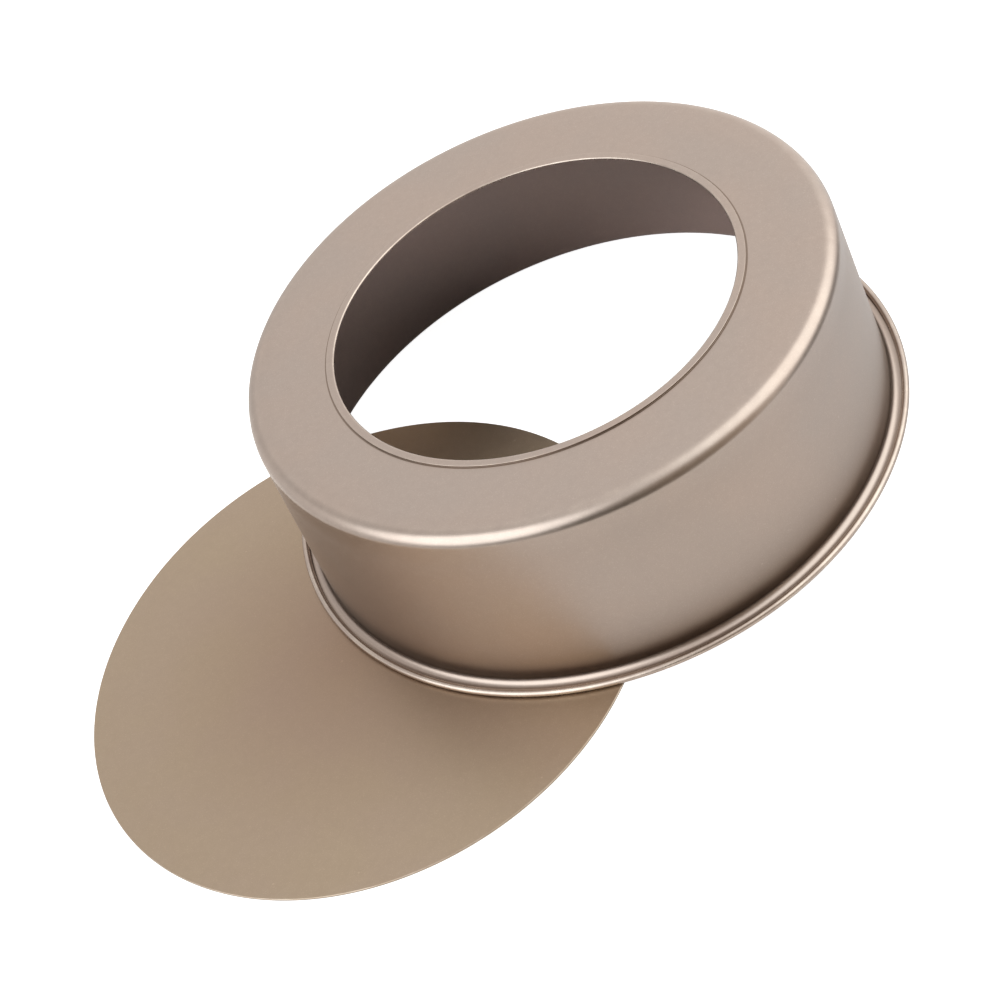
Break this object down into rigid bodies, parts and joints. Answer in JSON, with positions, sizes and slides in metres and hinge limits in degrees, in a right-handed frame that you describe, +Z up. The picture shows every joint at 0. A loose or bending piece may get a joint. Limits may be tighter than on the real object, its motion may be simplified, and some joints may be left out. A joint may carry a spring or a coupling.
{
  "type": "round cake pan with loose bottom",
  "caption": "Round cake pan set down as two pieces: a drawn steel ring, mouth down on its curled rim, lying partly on its flat loose bottom, in a champagne non-stick coat.",
  "frame": {"origin": "middle of the two pieces' common footprint, on the table plane", "axes": "+Z up from the table, +X from the loose bottom's centre towards the ring's centre, +Y to the left of +X seen from above"},
  "size_m": [0.316, 0.2192, 0.0697],
  "materials": {
    "ring_coating": "satin champagne non-stick coating with a fine metallic grain",
    "disc_coating": "satin champagne non-stick coating with a fine metallic grain"
  },
  "bodies": {
    "bottom": {"loose_bottom": "disc_coating"},
    "ring": {"pan_ring": "ring_coating"}
  },
  "joints": [
    {"name": "ring_lift", "type": "slide", "parent": "bottom", "child": "ring", "axis": [0, 0, 1], "range_m": [0, 0.1]}
  ]
}
